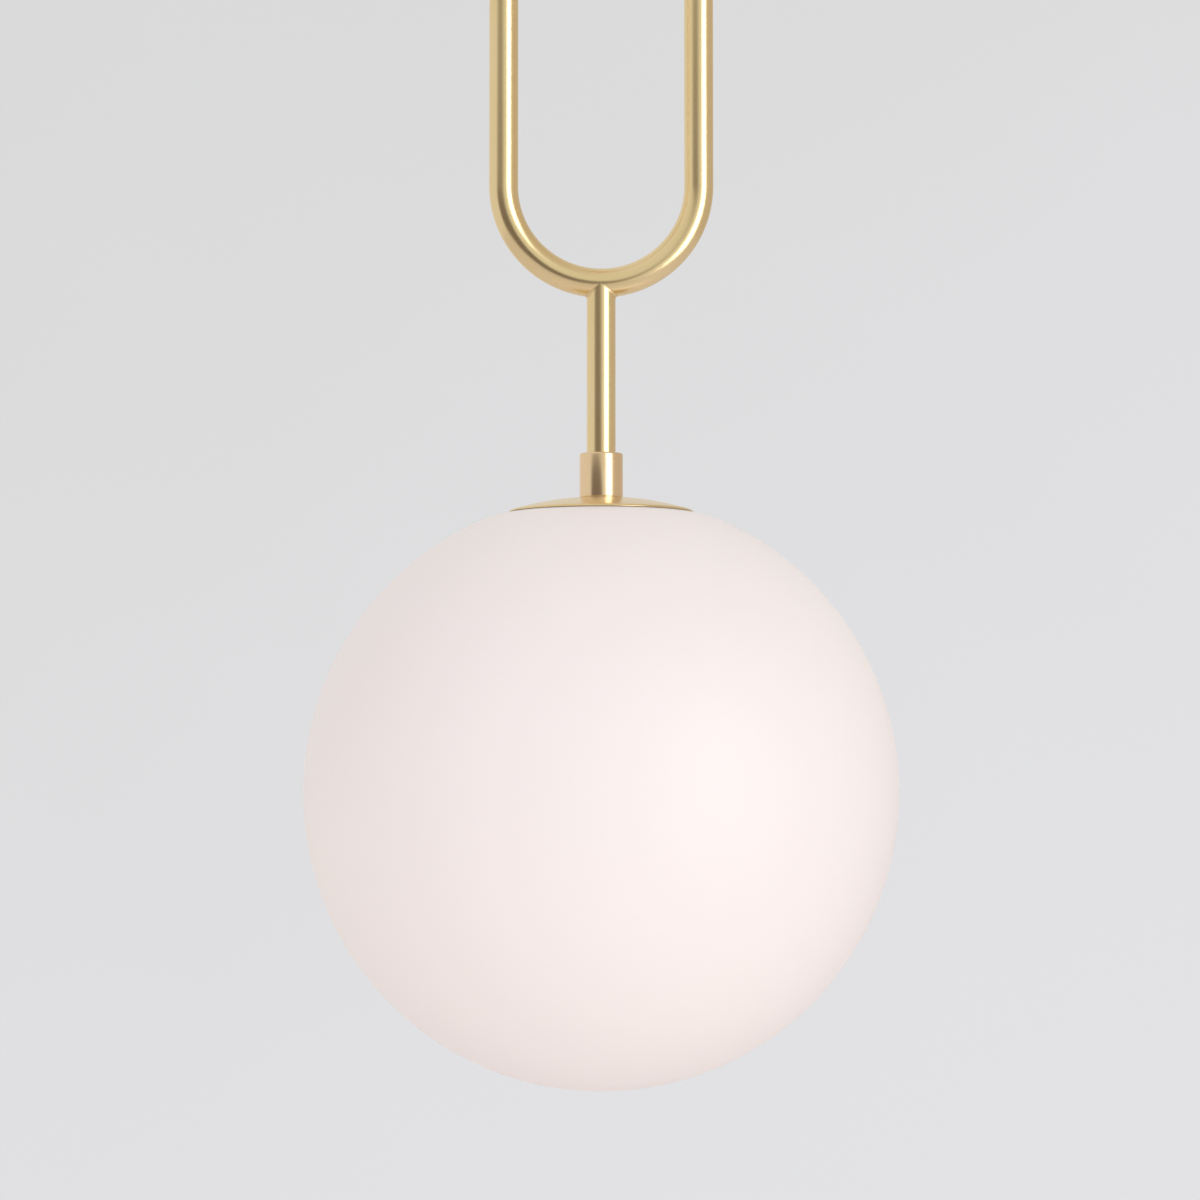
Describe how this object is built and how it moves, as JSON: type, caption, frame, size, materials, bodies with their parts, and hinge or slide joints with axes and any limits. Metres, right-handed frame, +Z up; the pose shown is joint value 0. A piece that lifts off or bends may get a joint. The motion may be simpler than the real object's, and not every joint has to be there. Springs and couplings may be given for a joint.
{
  "type": "pendant ceiling light",
  "caption": "Rigid-stem pendant light: round canopy, hang-straight swivel, racetrack tube loop, collar, shallow dome cap and a matt opal glass ball.",
  "frame": {"origin": "centre of the mounting plate's top face, where the light meets the ceiling", "axes": "+Z up, away from the light; +X across the tube loop; +Y along the line of the plate's two screw slots"},
  "size_m": [0.2522, 0.2522, 0.8493],
  "materials": {
    "brushed_brass": "satin brushed, lacquered",
    "braze": "smoothed braze",
    "zinc_steel": "zinc plated",
    "bright_steel": "bright",
    "contact_brass": "bright",
    "shell_metal": "drawn",
    "block_plastic": "matt",
    "core_ceramic": "unglazed",
    "gasket_rubber": "soft",
    "opal_glass": "matt opal, acid etched",
    "bulb_frost": "frosted",
    "bulb_plastic": "smooth",
    "bulb_black": "smooth",
    "led_board": "solder-masked board",
    "live_sleeve": "insulated lead",
    "neutral_sleeve": "insulated lead",
    "earth_sleeve": "insulated lead"
  },
  "bodies": {
    "ceiling": {"mounting_plate": "zinc_steel", "earth_screw": "bright_steel", "canopy": "brushed_brass", "canopy_studs": "zinc_steel", "canopy_nuts": "brushed_brass", "canopy_washer": "zinc_steel", "hanger_locknut": "zinc_steel", "hanger_bolt": "zinc_steel", "swivel_seat": "brushed_brass", "stop_pin": "bright_steel", "wave_washer": "bright_steel", "terminal_block": "block_plastic", "clamp_screws": "bright_steel", "block_screws": "bright_steel", "ceiling_live": "live_sleeve", "ceiling_neutral": "neutral_sleeve", "ceiling_earth": "earth_sleeve"},
    "swivel": {"swivel_fork": "brushed_brass", "swivel_live": "live_sleeve", "swivel_neutral": "neutral_sleeve", "swivel_earth": "earth_sleeve"},
    "pendant": {"swivel_tongue": "brushed_brass", "pivot_screws": "bright_steel", "upper_stem": "brushed_brass", "loop_upper": "brushed_brass", "loop_lower": "brushed_brass", "loop_ferrules": "zinc_steel", "braze_seams": "braze", "lower_stem": "brushed_brass", "collar": "brushed_brass", "holder_nipple": "zinc_steel", "dome_cap": "brushed_brass", "glass_gasket": "gasket_rubber", "gallery_spacer": "zinc_steel", "gallery_plate": "zinc_steel", "gallery_locknut": "zinc_steel", "globe_springs": "bright_steel", "spring_screws": "bright_steel", "holder_cap": "zinc_steel", "holder_sleeve": "zinc_steel", "holder_core": "core_ceramic", "screw_shell": "shell_metal", "centre_contact": "contact_brass", "terminal_posts": "contact_brass", "post_screws": "bright_steel", "pendant_live": "live_sleeve", "pendant_neutral": "neutral_sleeve", "pendant_earth": "earth_sleeve"},
    "globe": {"glass_globe": "opal_glass"},
    "bulb": {"bulb_cap": "shell_metal", "bulb_insulator": "bulb_black", "bulb_contact": "contact_brass", "bulb_body": "bulb_plastic", "bulb_dome": "bulb_frost", "bulb_board": "led_board"}
  },
  "joints": [
    {"name": "swivel_turn", "type": "hinge", "parent": "ceiling", "child": "swivel", "pos_m": [0, 0, -0.0499], "axis": [0, 0, 1], "range_deg": [-165, 165], "deforming": ["swivel_live", "swivel_neutral", "swivel_earth"]},
    {"name": "swivel_tilt", "type": "hinge", "parent": "swivel", "child": "pendant", "pos_m": [0, 0, -0.0499], "axis": [0, 1, 0], "range_deg": [-45, 45]},
    {"name": "globe_drop", "type": "slide", "parent": "pendant", "child": "globe", "axis": [0, 0, 1], "range_m": [-0.16, 0], "deforming": ["globe_springs"]},
    {"name": "bulb_unscrew", "type": "slide", "parent": "pendant", "child": "bulb", "axis": [0, 0, 1], "range_m": [-0.03, 0]}
  ]
}
